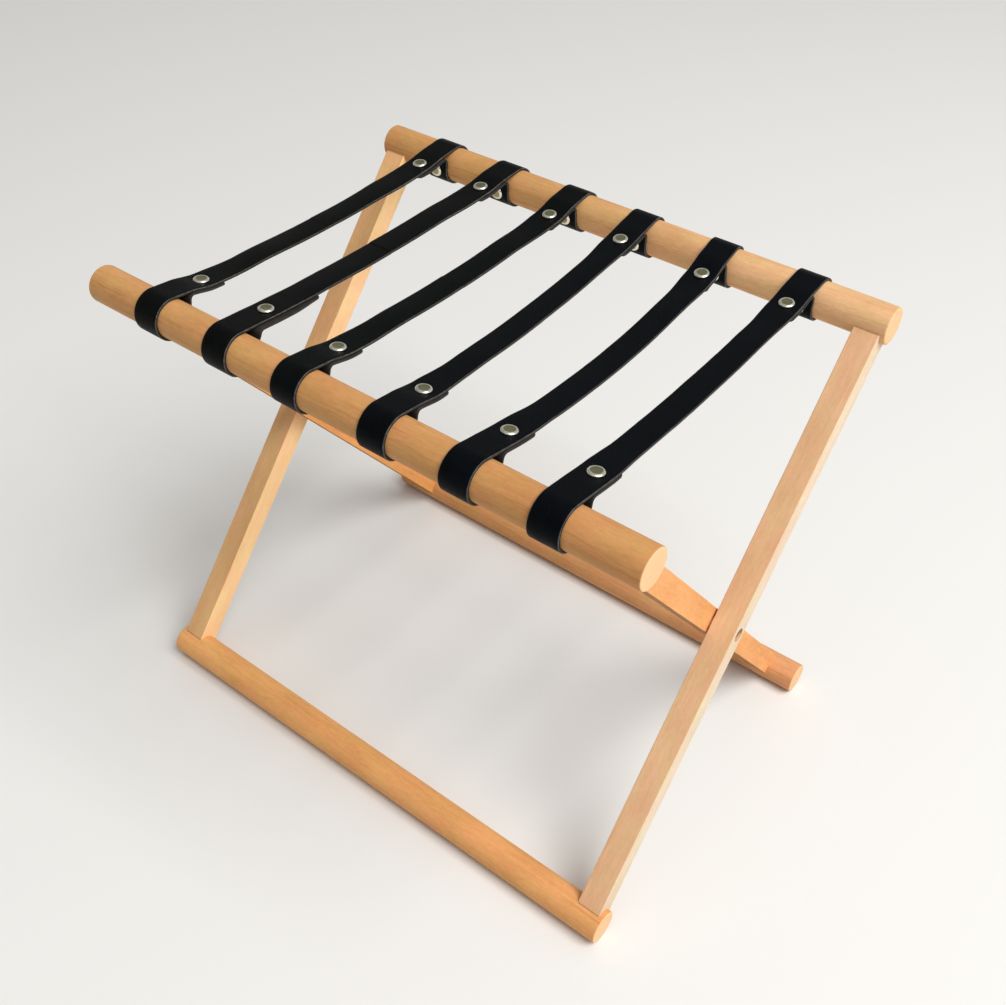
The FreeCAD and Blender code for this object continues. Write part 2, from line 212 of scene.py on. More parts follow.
class Finish(Nodes):
    """A material that is built node by node around one Principled shader."""

    def __init__(self, name, **constants):
        self.material = bpy.data.materials.new(name)
        self.material.use_nodes = True
        super().__init__(self.material.node_tree)
        self.shader = self.tree.nodes.new("ShaderNodeBsdfPrincipled")
        output = self.tree.nodes.new("ShaderNodeOutputMaterial")
        self.tree.links.new(self.shader.outputs[0], output.inputs[0])
        for socket, value in constants.items():
            self.shader.inputs[socket.replace("_", " ")].default_value = value

    def feed(self, **links):
        for name, value in links.items():
            self.tree.links.new(value.socket, self.shader.inputs[name.replace("_", " ")])
        return self.material


def scaled(colour, share):
    return tuple(channel * share for channel in colour)


PLAIN = (1.0, 1.0, 1.0)
Wood = namedtuple("Wood", "pale dark end near far flank under figure gloss")
Grain = namedtuple("Grain", "late fibre speck streak vein broad rosy pores ray")

RING_WIDTH = 0.0034
FLECK_LONG, FLECK_WIDE, FLECK_DEEP = 0.0060, 0.0007, 0.0026

# The tree's pith lies outside the piece, this far off across and up, and a little elsewhere for each piece.
# The rings wander by the next number, and drift by so many rings as the years' growth varies
PITH_ACROSS, PITH_UP = 0.045, 0.052
RING_WANDER, RING_DRIFT = 0.020, 7.0

# How far from the pith the flecks have their full width
FLECK_REACH = 0.085

# From the first share to the second, a face comes to count as one that looks along an axis
FACE_LOOKS = 0.55, 0.80
SEAM_NEAR, SEAM_FAR, SEAM_DEPTH = 0.0002, 0.0012, 0.55
STRAW, ROSE = (0.985, 1.01, 0.95), (1.03, 0.965, 0.985)
SEAM_SHADE = (0.12, 0.048, 0.016)
TONE_AT_PALEST = 0.88


def beech_grain(f, reach, across, up, seed):
    """The layers of beech: latewood, fibres, specks, streaks, veins, two kinds of patches, pores and rays."""
    g = reach + 0.731 * seed
    a = across + PITH_ACROSS + 0.013 * math.sin(3.1 * seed)
    b = up + PITH_UP + 0.020 * math.cos(2.3 * seed)

    def grained(along, over, detail=2.0, roughness=0.5, start=0.0):
        """Noise with so many features per metre along the grain and over it."""
        return f.noise(f.point(g * along + start, a * over, b * over), 1.0, detail, roughness)

    wander = grained(6.0, 22.0, 4.0, 0.62)
    radius = (a * a + b * b).root() + (wander - 0.5) * RING_WANDER
    years = f.noise(f.point(radius * 190.0, 4.2 + seed, g * 0.8), detail=1.0)
    rings = ((radius / RING_WIDTH + years * RING_DRIFT) * math.tau).sine() * 0.5 + 0.5
    rays = f.point(g / FLECK_LONG, a.angle(b) * FLECK_REACH / FLECK_WIDE, radius / FLECK_DEEP)
    ray_pick = f.along(f.cells(rays, out="Color"), (1.0, 0.0, 0.0))
    return Grain(
        late=rings**2.0 * f.between(years, 0.35, 0.7, 0.25, 1.0),
        fibre=grained(30.0, 900.0, 3.0, 0.6),
        speck=grained(125.0, 620.0, 2.0, 0.6),
        streak=grained(11.0, 210.0),
        vein=f.between(grained(8.0, 300.0, 1.0, start=9.0), 0.66, 0.80),
        broad=grained(19.0, 46.0, 3.0),
        rosy=grained(26.0, 70.0, start=5.0),
        pores=f.between(grained(190.0, 3400.0, 1.0), 0.60, 0.76),
        ray=f.between(f.cells(rays), 0.12, 0.42, 1.0, 0.0) * f.between(ray_pick, 0.45, 0.95),
    )


def beech(name, axes, seed, wood, seams=()):
    """Steamed beech, its grain along the first axis: growth rings, fibres, ray flecks and soft patches.

    The near and far tints are those of the piece's two ends along the grain; on the rails they are painted
    light. The flank tint is that of the faces square to the second axis, painted highlight on the outer legs,
    and the under tint that of the face toward the third one, painted shade on the inner legs. Seams are
    the round rails that the piece meets, as (y, z, radius).
    """
    f = Finish(name, Specular_IOR_Level=wood.gloss)
    place, normal = f.place(), f.place("Normal")
    reach, across, up = (f.along(place, axis) for axis in axes)
    grain = beech_grain(f, reach, across, up, seed)

    tone = grain.late * wood.figure + grain.fibre * 0.30 + grain.speck * 0.70 + grain.streak * 0.35
    tone = tone + grain.broad * 1.05 + grain.vein * 0.40 - TONE_AT_PALEST
    colour = f.mix(tone, wood.pale, wood.dark)
    colour = f.tinted(colour, f.mix(f.between(grain.rosy, 0.34, 0.64), STRAW, ROSE))
    colour = f.mix(grain.ray * 0.10, colour, scaled(wood.dark, 0.62))
    colour = f.mix(grain.pores * 0.20, colour, scaled(wood.dark, 0.5))
    # The end tints: painted light along the rails, a tint of the whole piece on the legs
    colour = f.tinted(colour, f.mix(f.between(reach, -0.22, 0.30), wood.near, wood.far))

    toward_end, toward_flank, toward_under = (f.along(normal, axis) for axis in axes)
    faces = toward_end.size(), toward_flank.size(), toward_under
    cut, flank, under = (f.between(share, *FACE_LOOKS) for share in faces)
    # Painted highlight on the flank faces and painted shade on the under face, wherever their tints are not
    # plain
    for face, tint in ((flank, wood.flank), (under, wood.under)):
        if tint != PLAIN:
            colour = f.mix(face, colour, f.tinted(colour, tint))
    end_rings = grain.late * 0.22 + f.noise(place, 1500.0, 2.0) * 0.30 + grain.broad * 0.30
    colour = f.mix(cut, colour, f.mix(end_rings, wood.end, scaled(wood.end, 0.72)))

    for y, z, rail_radius in seams:
        away_y, away_z = f.along(place, (0, 1, 0)) - y, f.along(place, (0, 0, 1)) - z
        away = (away_y * away_y + away_z * away_z).root() - rail_radius
        seam = f.between(away, SEAM_NEAR, SEAM_FAR, SEAM_DEPTH, 0.0) * (1.0 - flank)
        colour = f.mix(seam, colour, SEAM_SHADE)
    rough = 0.46 + grain.fibre * 0.12 - grain.ray * 0.06 + cut * 0.14
    height = grain.fibre * 0.5 + grain.late * 0.15 - grain.pores * 0.8 + grain.ray * 0.2 - grain.vein * 0.2
    return f.feed(Base_Color=colour, Roughness=rough, Normal=f.bump(height, 0.00020, 0.5))


def leather_grain(f, place):
    """Pebbles and creases of the leather's grain side, and the pressed fold lines between them."""
    pebbles = f.cells(place, 900.0, "SMOOTH_F1")
    creases = f.between(f.cells(place, 520.0, "DISTANCE_TO_EDGE"), 0.0, 0.09)
    fine = f.noise(place, 2600.0, 2.0)
    return creases * 0.6 - pebbles * 0.35 + fine * 0.25


WORN = (1.7, 1.7, 1.7)
# Painted highlight: the grey of the straps' top corners where they catch the light, warmer on the left straps
ARRIS_HIGHLIGHT_LEFT, ARRIS_HIGHLIGHT_RIGHT = (0.090, 0.088, 0.078), (0.070, 0.074, 0.080)
NAP_DARK, NAP_PALE = (0.012, 0.011, 0.010), (0.035, 0.031, 0.028)


def strap_tint(f, place, left, right):
    """From the left straps' warmer black to the right ones' cooler black."""
    return f.mix(f.between(f.along(place, (1.0, 0.0, 0.0)), -0.20, 0.16), left, right)


def leather_face(left, right):
    """The grain side, worn a little paler in soft patches."""
    f = Finish("strap_leather", Specular_IOR_Level=0.04)
    place = f.place()
    grain = leather_grain(f, place)
    wear = f.noise(place, 46.0, 3.0, 0.6)
    tint = strap_tint(f, place, left, right)
    colour = f.mix(f.between(wear, 0.35, 0.75), tint, f.tinted(tint, WORN))
    rough = f.between(wear, 0.3, 0.75, 0.40, 0.54) - grain * 0.05
    return f.feed(Base_Color=colour, Roughness=rough, Normal=f.bump(grain, 0.00022, 0.75))


def leather_arris_highlight(left, right):
    """The bevelled top corner: painted highlight, a grey line along it broken in noisy patches."""
    f = Finish("strap_arris", Specular_IOR_Level=0.30)
    place = f.place()
    highlight_break = f.noise(place, 260.0, 3.0, 0.6)
    tint = strap_tint(f, place, left, right)
    colour = f.mix(f.between(highlight_break, 0.36, 0.66), scaled(left, 0.35), tint)
    return f.feed(Base_Color=colour, Roughness=0.45 + highlight_break * 0.2, Normal=f.bump(highlight_break, 0.00010, 0.5))


def leather_edge(dark, pale):
    """The cut edge: packed fibre, dyed and burnished, with the dye thin in places."""
    f = Finish("strap_edge", Specular_IOR_Level=0.35)
    place = f.place()
    fibre = f.noise(place, 1400.0, 3.0, 0.65)
    patches = f.noise(place, 120.0, 2.0)
    colour = f.mix(f.between(fibre * 0.5 + patches * 0.5, 0.38, 0.66), dark, pale)
    return f.feed(Base_Color=colour, Roughness=0.5 + fibre * 0.25, Normal=f.bump(fibre, 0.00020, 0.8))


def leather_back(dark, pale):
    """The flesh side: short dull nap."""
    f = Finish("strap_flesh_side", Specular_IOR_Level=0.2)
    place = f.place()
    nap = f.noise(place, 900.0, 4.0, 0.7)
    drift = f.noise(place, 60.0, 2.0)
    colour = f.mix(f.between(nap * 0.6 + drift * 0.4, 0.35, 0.7), dark, pale)
    return f.feed(Base_Color=colour, Roughness=0.86 + nap * 0.1, Normal=f.bump(nap, 0.00035, 0.9))


# Hairlines per metre along each axis
HAIRLINES = (900, 0, 0), (0, 6000, 0), (0, 0, 6000)


def metal(name, colour, rough, haze):
    """Plated metal with a handled haze, hairlines and a little pitting."""
    f = Finish(name, Metallic=1.0)
    place = f.place()
    cloud = f.noise(place, 240.0, 3.0, 0.6)
    hairs = f.noise(f.point(*(f.along(place, axis) for axis in HAIRLINES)))
    tarnish = f.between(cloud, 0.42, 0.7)
    shade = f.mix(tarnish * haze, colour, scaled(colour, 0.55))
    roughness = rough + cloud * 0.10 + tarnish * 0.08
    height = hairs * 0.4 + cloud * 0.6
    return f.feed(Base_Color=shade, Roughness=roughness, Normal=f.bump(height, 0.00006, 0.5))


def dress(node, material):
    """Give a carried-over part of the frame its finish."""
    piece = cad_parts[node]
    if not piece.material_slots:
        piece.data.materials.append(material)
    for slot in piece.material_slots:
        slot.material = material


# ---------------------------------------------------------------- strap outline


def polar(centre, radius, angle):
    return centre[0] + radius * math.cos(angle), centre[1] + radius * math.sin(angle)


def angle_from(centre, point):
    return math.atan2(point[1] - centre[1], point[0] - centre[0])


def moved(point, direction, distance):
    return point[0] + direction[0] * distance, point[1] + direction[1] * distance


def arc(centre, radius, start, end, step):
    """Points round a centre from one angle to another, about a step apart."""
    count = max(3, round(abs(end - start) * radius / step))
    return [polar(centre, radius, start + (end - start) * i / count) for i in range(count + 1)]


def straight(a, b, step):
    """Points on a straight line, about a step apart."""
    count = max(2, round(math.dist(a, b) / step))
    apart = b[0] - a[0], b[1] - a[1]
    return [moved(a, apart, i / count) for i in range(count + 1)]


def strap_arc(dip, leather):
    """Centre and radius of the long sagging arc of a strap's middle layer line."""
    wrap = RAIL_RADIUS + WRAP_GAP + leather / 2
    drop = wrap - dip
    radius = (HALF_SPREAD**2 + drop**2 - wrap**2) / (2 * dip)
    return (HALF_SPREAD, drop + radius), radius


def strap_x(line, y):
    """Where a strap's middle line runs along the rails, at one place between them."""
    plain = (line.front + line.back) / 2 + (line.back - line.front) * y / (2 * HALF_SPREAD)
    return plain + line.bow * (1 - (y / HALF_SPREAD) ** 2)


def smooth(value, low, high):
    t = min(max((value - low) / (high - low), 0.0), 1.0)
    return t * t * (3 - 2 * t)


def half_line(dip, leather, tail_end):
    """Points, left-hand normals and layer names from the tail's tip round the rail to the strap's middle.

    The tail lies a layer below the span's long arc. A bend joins it to a straight rise, which meets the turn
    round the rail where that ends.
    """
    wrap = RAIL_RADIUS + WRAP_GAP + leather / 2
    centre, radius = strap_arc(dip, leather)
    tail_radius = radius + (leather + LAYER_GAP)
    leave = (wrap * math.sin(LOOP_TURN), -wrap * math.cos(LOOP_TURN))
    rise = (math.cos(LOOP_TURN), math.sin(LOOP_TURN))
    inboard = (rise[1], -rise[0])

    # The rise is just so long that the bend ends on the tail's arc
    bend_low = moved(leave, inboard, LOOP_BEND_RADIUS)
    gap = (bend_low[0] - centre[0], bend_low[1] - centre[1])
    away = tail_radius + LOOP_BEND_RADIUS
    along = gap[0] * rise[0] + gap[1] * rise[1]
    length = -along - math.sqrt(along**2 - (gap[0] ** 2 + gap[1] ** 2 - away**2))
    bend_start = moved(leave, rise, length)
    bend = moved(bend_start, inboard, LOOP_BEND_RADIUS)

    tail_angle = angle_from(centre, bend)
    tip_angle = -math.pi / 2 - math.asin((HALF_SPREAD - tail_end) / tail_radius)
    bend_angle = angle_from(bend, bend_start)
    off_rail = angle_from((0, 0), centre) - 2 * math.pi
    runs = (
        ("tail", arc(centre, tail_radius, tip_angle, tail_angle, TAIL_STEP)),
        ("loop", arc(bend, LOOP_BEND_RADIUS, tail_angle + math.pi, bend_angle, BEND_STEP)),
        ("loop", straight(bend_start, leave, RISE_STEP)),
        ("loop", arc((0, 0), wrap, LOOP_TURN - math.pi / 2, off_rail, TURN_STEP)),
        ("span", arc(centre, radius, angle_from(centre, (0, 0)), -math.pi / 2, SPAN_STEP)),
    )
    points = [(layer, *point) for layer, run in runs for point in run[:-1]]
    points.append(("span", *runs[-1][1][-1]))

    result = []
    for i, (layer, u, w) in enumerate(points):
        before, after = points[max(i - 1, 0)], points[min(i + 1, len(points) - 1)]
        du, dw = after[1] - before[1], after[2] - before[2]
        size = math.hypot(du, dw)
        result.append((layer, u, w, -dw / size, du / size))
    result[-1] = (*result[-1][:3], 0.0, 1.0)
    return result


def new_piece(name, verts, faces, materials, indices=None):
    """Make a smooth-shaded piece, its indices giving the material of each face."""
    mesh = bpy.data.meshes.new(name)
    mesh.from_pydata(verts, [], faces)
    for material in materials:
        mesh.materials.append(material)
    if indices:
        mesh.polygons.foreach_set("material_index", indices)
    mesh.polygons.foreach_set("use_smooth", [True] * len(faces))
    mesh.update()
    piece = bpy.data.objects.new(name, mesh)
    bpy.context.scene.collection.objects.link(piece)
    return piece


ACROSS = (-1.0, -0.75, -0.5, -0.25, 0.0, 0.25, 0.5, 0.75, 1.0)
FACE, ARRIS, EDGE, FLESH = range(4)


def strap_ring(width, leather, arris):
    """Cross-section of the leather, as points (across, height, finish of the side that starts there)."""
    half, top, bevel = width / 2, leather / 2, arris * 0.3
    inner, mid, shoulder = half - arris, half - bevel, top - arris
    ring = [(share * inner, top, FACE) for share in ACROSS[:-1]]
    ring += [(inner, top, ARRIS), (mid, top - bevel, ARRIS), (half, shoulder, EDGE)]
    ring += [(half, -shoulder, EDGE), (mid, -top + bevel, EDGE)]
    ring += [(-share * inner, -top, FLESH) for share in ACROSS[:-1]]
    ring += [(-inner, -top, EDGE), (-mid, -top + bevel, EDGE), (-half, -shoulder, EDGE)]
    ring += [(-half, shoulder, ARRIS), (-mid, top - bevel, ARRIS)]
    return ring


def slump(line, side, u):
    """How far the rivet's pull brings the strap below its long arc."""
    return line.slump[side > 0] * smooth(u, *PULL_GROWS) * (1 - smooth(u, *PULL_FADES))


Half = namedtuple("Half", "line side seed tip past tail_lift sizes")


def narrowing(half, layer, u):
    """0 over the rail and round the rivet, 1 where a span has come down to its own width."""
    start = half.line.taper[half.side > 0]
    return smooth(u, start, start + TAPER_LENGTH) if layer == "span" else 0.0


def strap_width(half, layer, u, narrow):
    width = half.sizes.loop_width + (half.line.width - half.sizes.loop_width) * narrow
    to_tip = half.tip - u
    if layer == "tail" and to_tip < TAIL_CORNER:
        width -= 2 * (TAIL_CORNER - math.sqrt(max(TAIL_CORNER**2 - (TAIL_CORNER - to_tip) ** 2, 0.0)))
    return width


def strap_middle(half, layer, u, w):
    """Where the strap's middle runs along the rails, its returning layer a little askew."""
    askew = 0.0
    if layer == "tail":
        askew = 1 - smooth(u, half.tip - 0.75 * half.past, half.tip + 0.004)
    elif layer == "loop":
        askew = smooth(w, *SKEW_HEIGHT) * smooth(u, *SKEW_INBOARD)
    return strap_x(half.line, half.side * (HALF_SPREAD - u)) + half.line.skew[half.side > 0] * askew


def leather_lift(half, layer, u, x, across, height, width):
    """How high a point of the cross-section stands over the strap's middle layer."""
    sizes = half.sizes
    if layer == "tail":
        return height + half.tail_lift * smooth(u, sizes.rivet_inboard + 0.008, half.tip + 0.012)
    if layer == "loop":
        return height
    y = half.side * (HALF_SPREAD - u)
    sway = SWAY * noise.noise(Vector((x * 9 + half.seed, y * 13, half.seed)))
    lift = height + (sway - CUP * (2 * across / width) ** 2) * smooth(u, *SPAN_FREE)
    if height > 0:
        off = math.hypot(across, u - sizes.rivet_inboard)
        lift -= DIMPLE * (1 - smooth(off, sizes.cap_radius, sizes.cap_radius + DIMPLE_WIDTH))
    return lift


def strap_rings(half):
    """The cross-sections from the tail's tip to the strap's middle, in the bench's place."""
    sizes, rings = half.sizes, []
    for layer, u, w, normal_u, normal_w in half_line(half.line.dip, sizes.leather, half.tip):
        narrow = narrowing(half, layer, u)
        width = strap_width(half, layer, u, narrow)
        middle = strap_middle(half, layer, u, w)
        y, z = half.side * (HALF_SPREAD - u), TOP_RAIL_Z + w - slump(half.line, half.side, u)
        ring = []
        for across, height, _ in strap_ring(width, sizes.leather, sizes.arris * (1 - 0.6 * narrow)):
            x = middle + across
            lift = leather_lift(half, layer, u, x, across, height, width)
            if abs(across) > width * 0.4:
                edge = math.copysign(3.0, across)
                ragged = noise.noise(Vector((y * 60 + half.seed, w * 60, edge + half.seed)))
                x += math.copysign(ragged * RAGGED, across)
            ring.append((x, y - half.side * normal_u * lift, z + normal_w * lift))
        rings.append(ring)
    return rings


def strap_half(number, line, side_name, sizes, materials):
    """One strap from its tail's tip round a rail to the middle, where the other half meets it."""
    side = SIDES[side_name]
    long_tail = number == LONG_TAIL_STRAP and side_name == "front"
    past, tail_lift = (sizes.long_tail, LONG_TAIL_LIFT) if long_tail else (sizes.tail, TAIL_LIFT)
    seed = 7.3 * number + (31.7 if side > 0 else 0.0)
    rings = strap_rings(Half(line, side, seed, sizes.rivet_inboard + past, past, tail_lift, sizes))
    count = len(rings[0])
    zones = [zone for _, _, zone in strap_ring(sizes.loop_width, sizes.leather, sizes.arris)]
    verts = [point for ring in rings for point in ring]
    faces, indices = [], []
    for start in range(0, (len(rings) - 1) * count, count):
        for j in range(count):
            k = (j + 1) % count
            quad = (start + j, start + k, start + count + k, start + count + j)
            faces.append(quad if side < 0 else quad[::-1])
            indices.append(zones[j])
    for ring, flip in ((rings[0], side > 0), (rings[-1], side < 0)):
        cap = tuple(range(len(verts), len(verts) + count))
        verts += ring
        faces.append(cap[::-1] if flip else cap)
        indices.append(EDGE)
    name = "strap_%d_%s_half" % (number + 1, side_name)
    return new_piece(name, verts, faces, materials, indices)


# ---------------------------------------------------------------- turned metal


TURNED_SIDES = 48
CORNER_RADIUS, CORNER_STEPS = 0.00022, 3


def lathe(profile, place, face_radius, verts, faces, indices):
    """Add one turned shape, its profile as (radius, height) points from the axis out and back to it.

    Inside the face radius its outer side has the second finish.
    """
    rows = []
    for radius, height in profile:
        turns = [math.tau * i / TURNED_SIDES for i in range(TURNED_SIDES if radius > 1e-7 else 1)]
        rows.append(range(len(verts), len(verts) + len(turns)))
        for turn in turns:
            x, y = polar((0, 0), radius, turn)
            verts.append(tuple(place @ Vector((x, y, height))))
    for low, high, (start_radius, start_height) in zip(rows, rows[1:], profile):
        inside = start_height > CAP_SEAT and start_radius <= face_radius
        for i in range(TURNED_SIDES):
            k = (i + 1) % TURNED_SIDES
            quad = (low[i % len(low)], low[k % len(low)], high[k % len(high)], high[i % len(high)])
            faces.append(tuple(dict.fromkeys(quad)))
            indices.append(int(inside))


def rounded(profile):
    """Round the corners of a profile that are away from the axis."""
    result = [profile[0]]
    for before, corner, after in zip(profile, profile[1:], profile[2:]):
        a, b, c = (Vector((*p, 0)) for p in (before, corner, after))
        cut = min(CORNER_RADIUS, (a - b).length * 0.45, (c - b).length * 0.45)
        start, end = b + (a - b).normalized() * cut, b + (c - b).normalized() * cut
        for i in range(CORNER_STEPS + 1):
            t = i / CORNER_STEPS
            point = start * (1 - t) ** 2 + b * 2 * t * (1 - t) + end * t**2
            result.append((point.x, point.y))
    return result + [profile[-1]]


def standing(line, u, w, side, direction):
    """Place a turned shape beside a rail, its axis along a direction given as (inboard, up)."""
    y = side * (HALF_SPREAD - u)
    axis = Vector((0, -side * direction[0], direction[1])).normalized()
    turn = Vector((0, 0, 1)).rotation_difference(axis).to_matrix().to_4x4()
    return Matrix.Translation((strap_x(line, y), y, TOP_RAIL_Z + w)) @ turn


# The cap's inner part, as a share of its radius, has the finish of its face
FACE_SHARE = 0.69
RIVET_SHANK, BACK_SHANK, SCREW_SHANK = 0.0025, 0.0015, 0.002
BACK_RADIUS, BACK_FLAT, BACK_DEEP = 0.0065, 0.0056, 0.00125


def cap_head(sizes):
    """A cap from its seat out: short rim, rounded bevel, thin bright ring and a slightly sunk face."""
    rim, high = sizes.cap_radius, sizes.cap_height
    shares = (1, 0.25), (0.955, 0.58), (0.87, 0.86), (0.76, 1), (0.70, 0.98), (0.66, 0.90), (0, 0.87)
    return [(rim, CAP_SEAT)] + [(across * rim, up * high) for across, up in shares]


def rivet_profile(head, stack):
    """A cap on a shank that goes through both layers of leather."""
    return [(0, -stack), (RIVET_SHANK, -stack), (RIVET_SHANK, CAP_SEAT)] + head


def back_profile(stack):
    """The rivet's other side, a shallow dish beneath both layers with a post up into the shank."""
    seat, low, post = -stack - CAP_SEAT, -stack - BACK_DEEP, -stack + 0.003
    dish = [(0, low), (BACK_FLAT, low), (BACK_RADIUS, -stack - 0.0006), (BACK_RADIUS, seat)]
    return dish + [(BACK_SHANK, seat), (BACK_SHANK, post), (0, post)]


def screw_profile(head):
    """A cap on a pointed wood screw."""
    point = [(0, -0.019), (0.001, -0.017), (SCREW_SHANK, -0.013), (SCREW_SHANK, CAP_SEAT)]
    return point + head


def rivet_place(line, side, sizes):
    centre, radius = strap_arc(line.dip, sizes.leather)
    top = radius - sizes.leather / 2
    tilt = math.asin((HALF_SPREAD - sizes.rivet_inboard) / top)
    u, w = polar(centre, top, -math.pi / 2 - tilt)
    return standing(line, u, w - slump(line, side, u), side, (math.sin(tilt), math.cos(tilt)))


def screw_place(line, side, sizes):
    out = (math.sin(LOOP_TURN), -math.cos(LOOP_TURN))
    face = RAIL_RADIUS + WRAP_GAP + sizes.leather
    return standing(line, face * out[0], face * out[1], side, out)


# ---------------------------------------------------------------- settings


def swatch(name, description, default):
    return FloatVectorProperty(
        name=name, description=description, subtype="COLOR", size=3, min=0, max=1, default=default)


def measure(name, description, default):
    return FloatProperty(name=name, description=description, unit="LENGTH", default=default)


class LuggageBenchWood(bpy.types.PropertyGroup):
    rail_pale: swatch("Rail light wood", "Earlywood of the round rails", (0.640, 0.352, 0.142))
    rail_dark: swatch("Rail dark wood", "Latewood and streaks of the round rails", (0.460, 0.224, 0.078))
    rail_end: swatch("Rail ends", "Cut ends of the round rails", (0.930, 0.600, 0.330))
    outer_pale: swatch("Outer leg light wood", "Earlywood of the outer legs", (0.830, 0.532, 0.310))
    outer_dark: swatch("Outer leg dark wood", "Latewood of the outer legs", (0.655, 0.364, 0.188))
    inner_pale: swatch("Inner leg light wood", "Earlywood of the inner legs", (0.900, 0.460, 0.190))
    inner_dark: swatch("Inner leg dark wood", "Latewood of the inner legs", (0.665, 0.290, 0.105))


class LuggageBenchStraps(bpy.types.PropertyGroup):
    loop_width: measure("Loop width", "Width of a strap over the rails", 0.029)
    leather: measure("Leather", "Thickness of the leather", 0.0025)
    arris: measure("Arris", "Bevel along the cut edges", 0.0007)
    tail: measure("Tail", "Leather past the rivet", 0.017)
    long_tail: measure("Long tail", "Leather past the front rivet of the second strap", 0.055)
    rivet_inboard: measure("Rivet from rail", "Rivet to the rail's axis", 0.047)
    cap_radius: measure("Cap radius", "Radius of the rivet and screw caps", 0.0075)
    cap_height: measure("Cap height", "Height of the caps", 0.0018)
    left_black: swatch("Left black", "Leather of the left straps", (0.0020, 0.0027, 0.0023))
    right_black: swatch("Right black", "Leather of the right straps", (0.0012, 0.0019, 0.0030))
    edge_dark: swatch("Edge dark", "Burnished cut edge", (0.009, 0.008, 0.007))
    edge_pale: swatch("Edge light", "Cut edge where the dye is thin", (0.028, 0.023, 0.018))
    # The caps' rims and faces are one plating in a lit and a shaded colour: painted highlight on the rims,
    # painted shade on the faces
    rim: swatch("Cap rims", "Polished bevel of the caps", (0.92, 0.89, 0.76))
    brass: swatch("Cap faces", "Aged brass of the caps' faces", (0.34, 0.335, 0.195))


class LuggageBenchStage(bpy.types.PropertyGroup):
    floor: swatch("Floor", "Studio floor", (0.80, 0.80, 0.79))
    key: FloatProperty(
        name="Key light", description="Large light at the right", subtype="POWER", default=330.0)
    sky: FloatProperty(name="Surround", description="Light from above and from the right", default=0.50)
    dusk: FloatProperty(name="Far surround", description="Light from behind on the left", default=0.14)


# ---------------------------------------------------------------- operators

FrameLook = namedtuple("FrameLook", "flanks under figure gloss")

# The tints of each rail at its left and right ends, and of each leg as a whole. The rails' end tints are
# painted light: the back top rail grows paler toward its right end as if lit harder there, and the front
# bottom rail's left end is lifted out of shade
RAIL_END_LIGHT = {
    "back_top_rail": ((0.98, 0.98, 0.96), (1.30, 1.50, 2.0)),
    "front_top_rail": (PLAIN, (0.96, 0.90, 0.87)),
    "back_bottom_rail": ((1.05, 1.0, 1.0), (1.20, 1.14, 1.36)),
    "front_bottom_rail": ((1.38, 1.32, 1.25), (1.27, 1.16, 1.12)),
}
RAIL_FIGURE, RAIL_GLOSS = 0.38, 0.10
LEG_NODES = ("leg_left", (1.0, 0.95, 0.80)), ("leg_right", PLAIN), ("frame_dowels", PLAIN)

# Flank tints are for a frame's left leg, right leg and dowels. On the outer legs they are painted highlight:
# the sides facing right made paler and whiter, as if lit harder and glazed with sheen
OUTER_LOOK = FrameLook(((1.32, 1.50, 1.65), (0.985, 1.30, 1.67), PLAIN), PLAIN, 0.14, 0.12)
# The inner legs' under tint is painted shade, darkening the faces turned down and to the front
INNER_LOOK = FrameLook((PLAIN, PLAIN, PLAIN), (0.50, 0.48, 0.46), 0.38, 0.03)
X_AXIS, Y_AXIS, Z_AXIS = (Vector(axis) for axis in ((1, 0, 0), (0, 1, 0), (0, 0, 1)))
BLACK_OXIDE, ZINC = (0.10, 0.10, 0.105), (0.62, 0.62, 0.60)


class BENCH_OT_rails(bpy.types.Operator):
    """Finish the four round rails"""

    bl_idname = "bench.rails"
    bl_label = "Rails"

    def execute(self, context):
        wood = context.scene.bench_wood
        colours = tuple(wood.rail_pale), tuple(wood.rail_dark), tuple(wood.rail_end)
        for seed, (name, (near, far)) in enumerate(RAIL_END_LIGHT.items(), 1):
            tones = Wood(*colours, near, far, PLAIN, PLAIN, RAIL_FIGURE, RAIL_GLOSS)
            dress(name, beech("beech_" + name, (X_AXIS, Y_AXIS, Z_AXIS), seed, tones))
        return {"FINISHED"}


class BENCH_OT_legs(bpy.types.Operator):
    """Finish the four square legs and their dowels"""

    bl_idname = "bench.legs"
    bl_label = "Legs"

    def execute(self, context):
        wood = context.scene.bench_wood
        self.dress_frame("outer", 1, 11, tuple(wood.outer_pale), tuple(wood.outer_dark), OUTER_LOOK)
        self.dress_frame("inner", -1, 14, tuple(wood.inner_pale), tuple(wood.inner_dark), INNER_LOOK)
        return {"FINISHED"}

    def dress_frame(self, frame_name, top_side, first_seed, pale, dark, look):
        """Finish one frame's legs and dowels. Its top side is 1 where its top rail is the back one."""
        down = Vector((0, -2 * top_side * HALF_SPREAD, BOTTOM_RAIL_Z - TOP_RAIL_Z)).normalized()
        axes = down, X_AXIS, down.cross(X_AXIS)
        seams = (
            (top_side * HALF_SPREAD, TOP_RAIL_Z, RAIL_RADIUS),
            (-top_side * HALF_SPREAD, BOTTOM_RAIL_Z, BOTTOM_RAIL_RADIUS),
        )
        end = scaled(pale, 0.8)
        for seed, ((name, tint), flank) in enumerate(zip(LEG_NODES, look.flanks), first_seed):
            node = frame_name + "_" + name
            tones = Wood(pale, dark, end, tint, tint, flank, look.under, look.figure, look.gloss)
            dress(node, beech("beech_" + node, axes, seed, tones, seams))


class BENCH_OT_pivots(bpy.types.Operator):
    """Finish the pivot bolts, insert nuts and washers"""

    bl_idname = "bench.pivots"
    bl_label = "Pivots"

    def execute(self, context):
        black = metal("pivot_black_oxide", BLACK_OXIDE, 0.34, 0.5)
        zinc = metal("pivot_zinc", ZINC, 0.30, 0.4)
        for side in ("left", "right"):
            dress("pivot_bolt_" + side, black)
            dress("insert_nut_" + side, zinc)
            dress("pivot_washer_" + side, zinc)
        return {"FINISHED"}


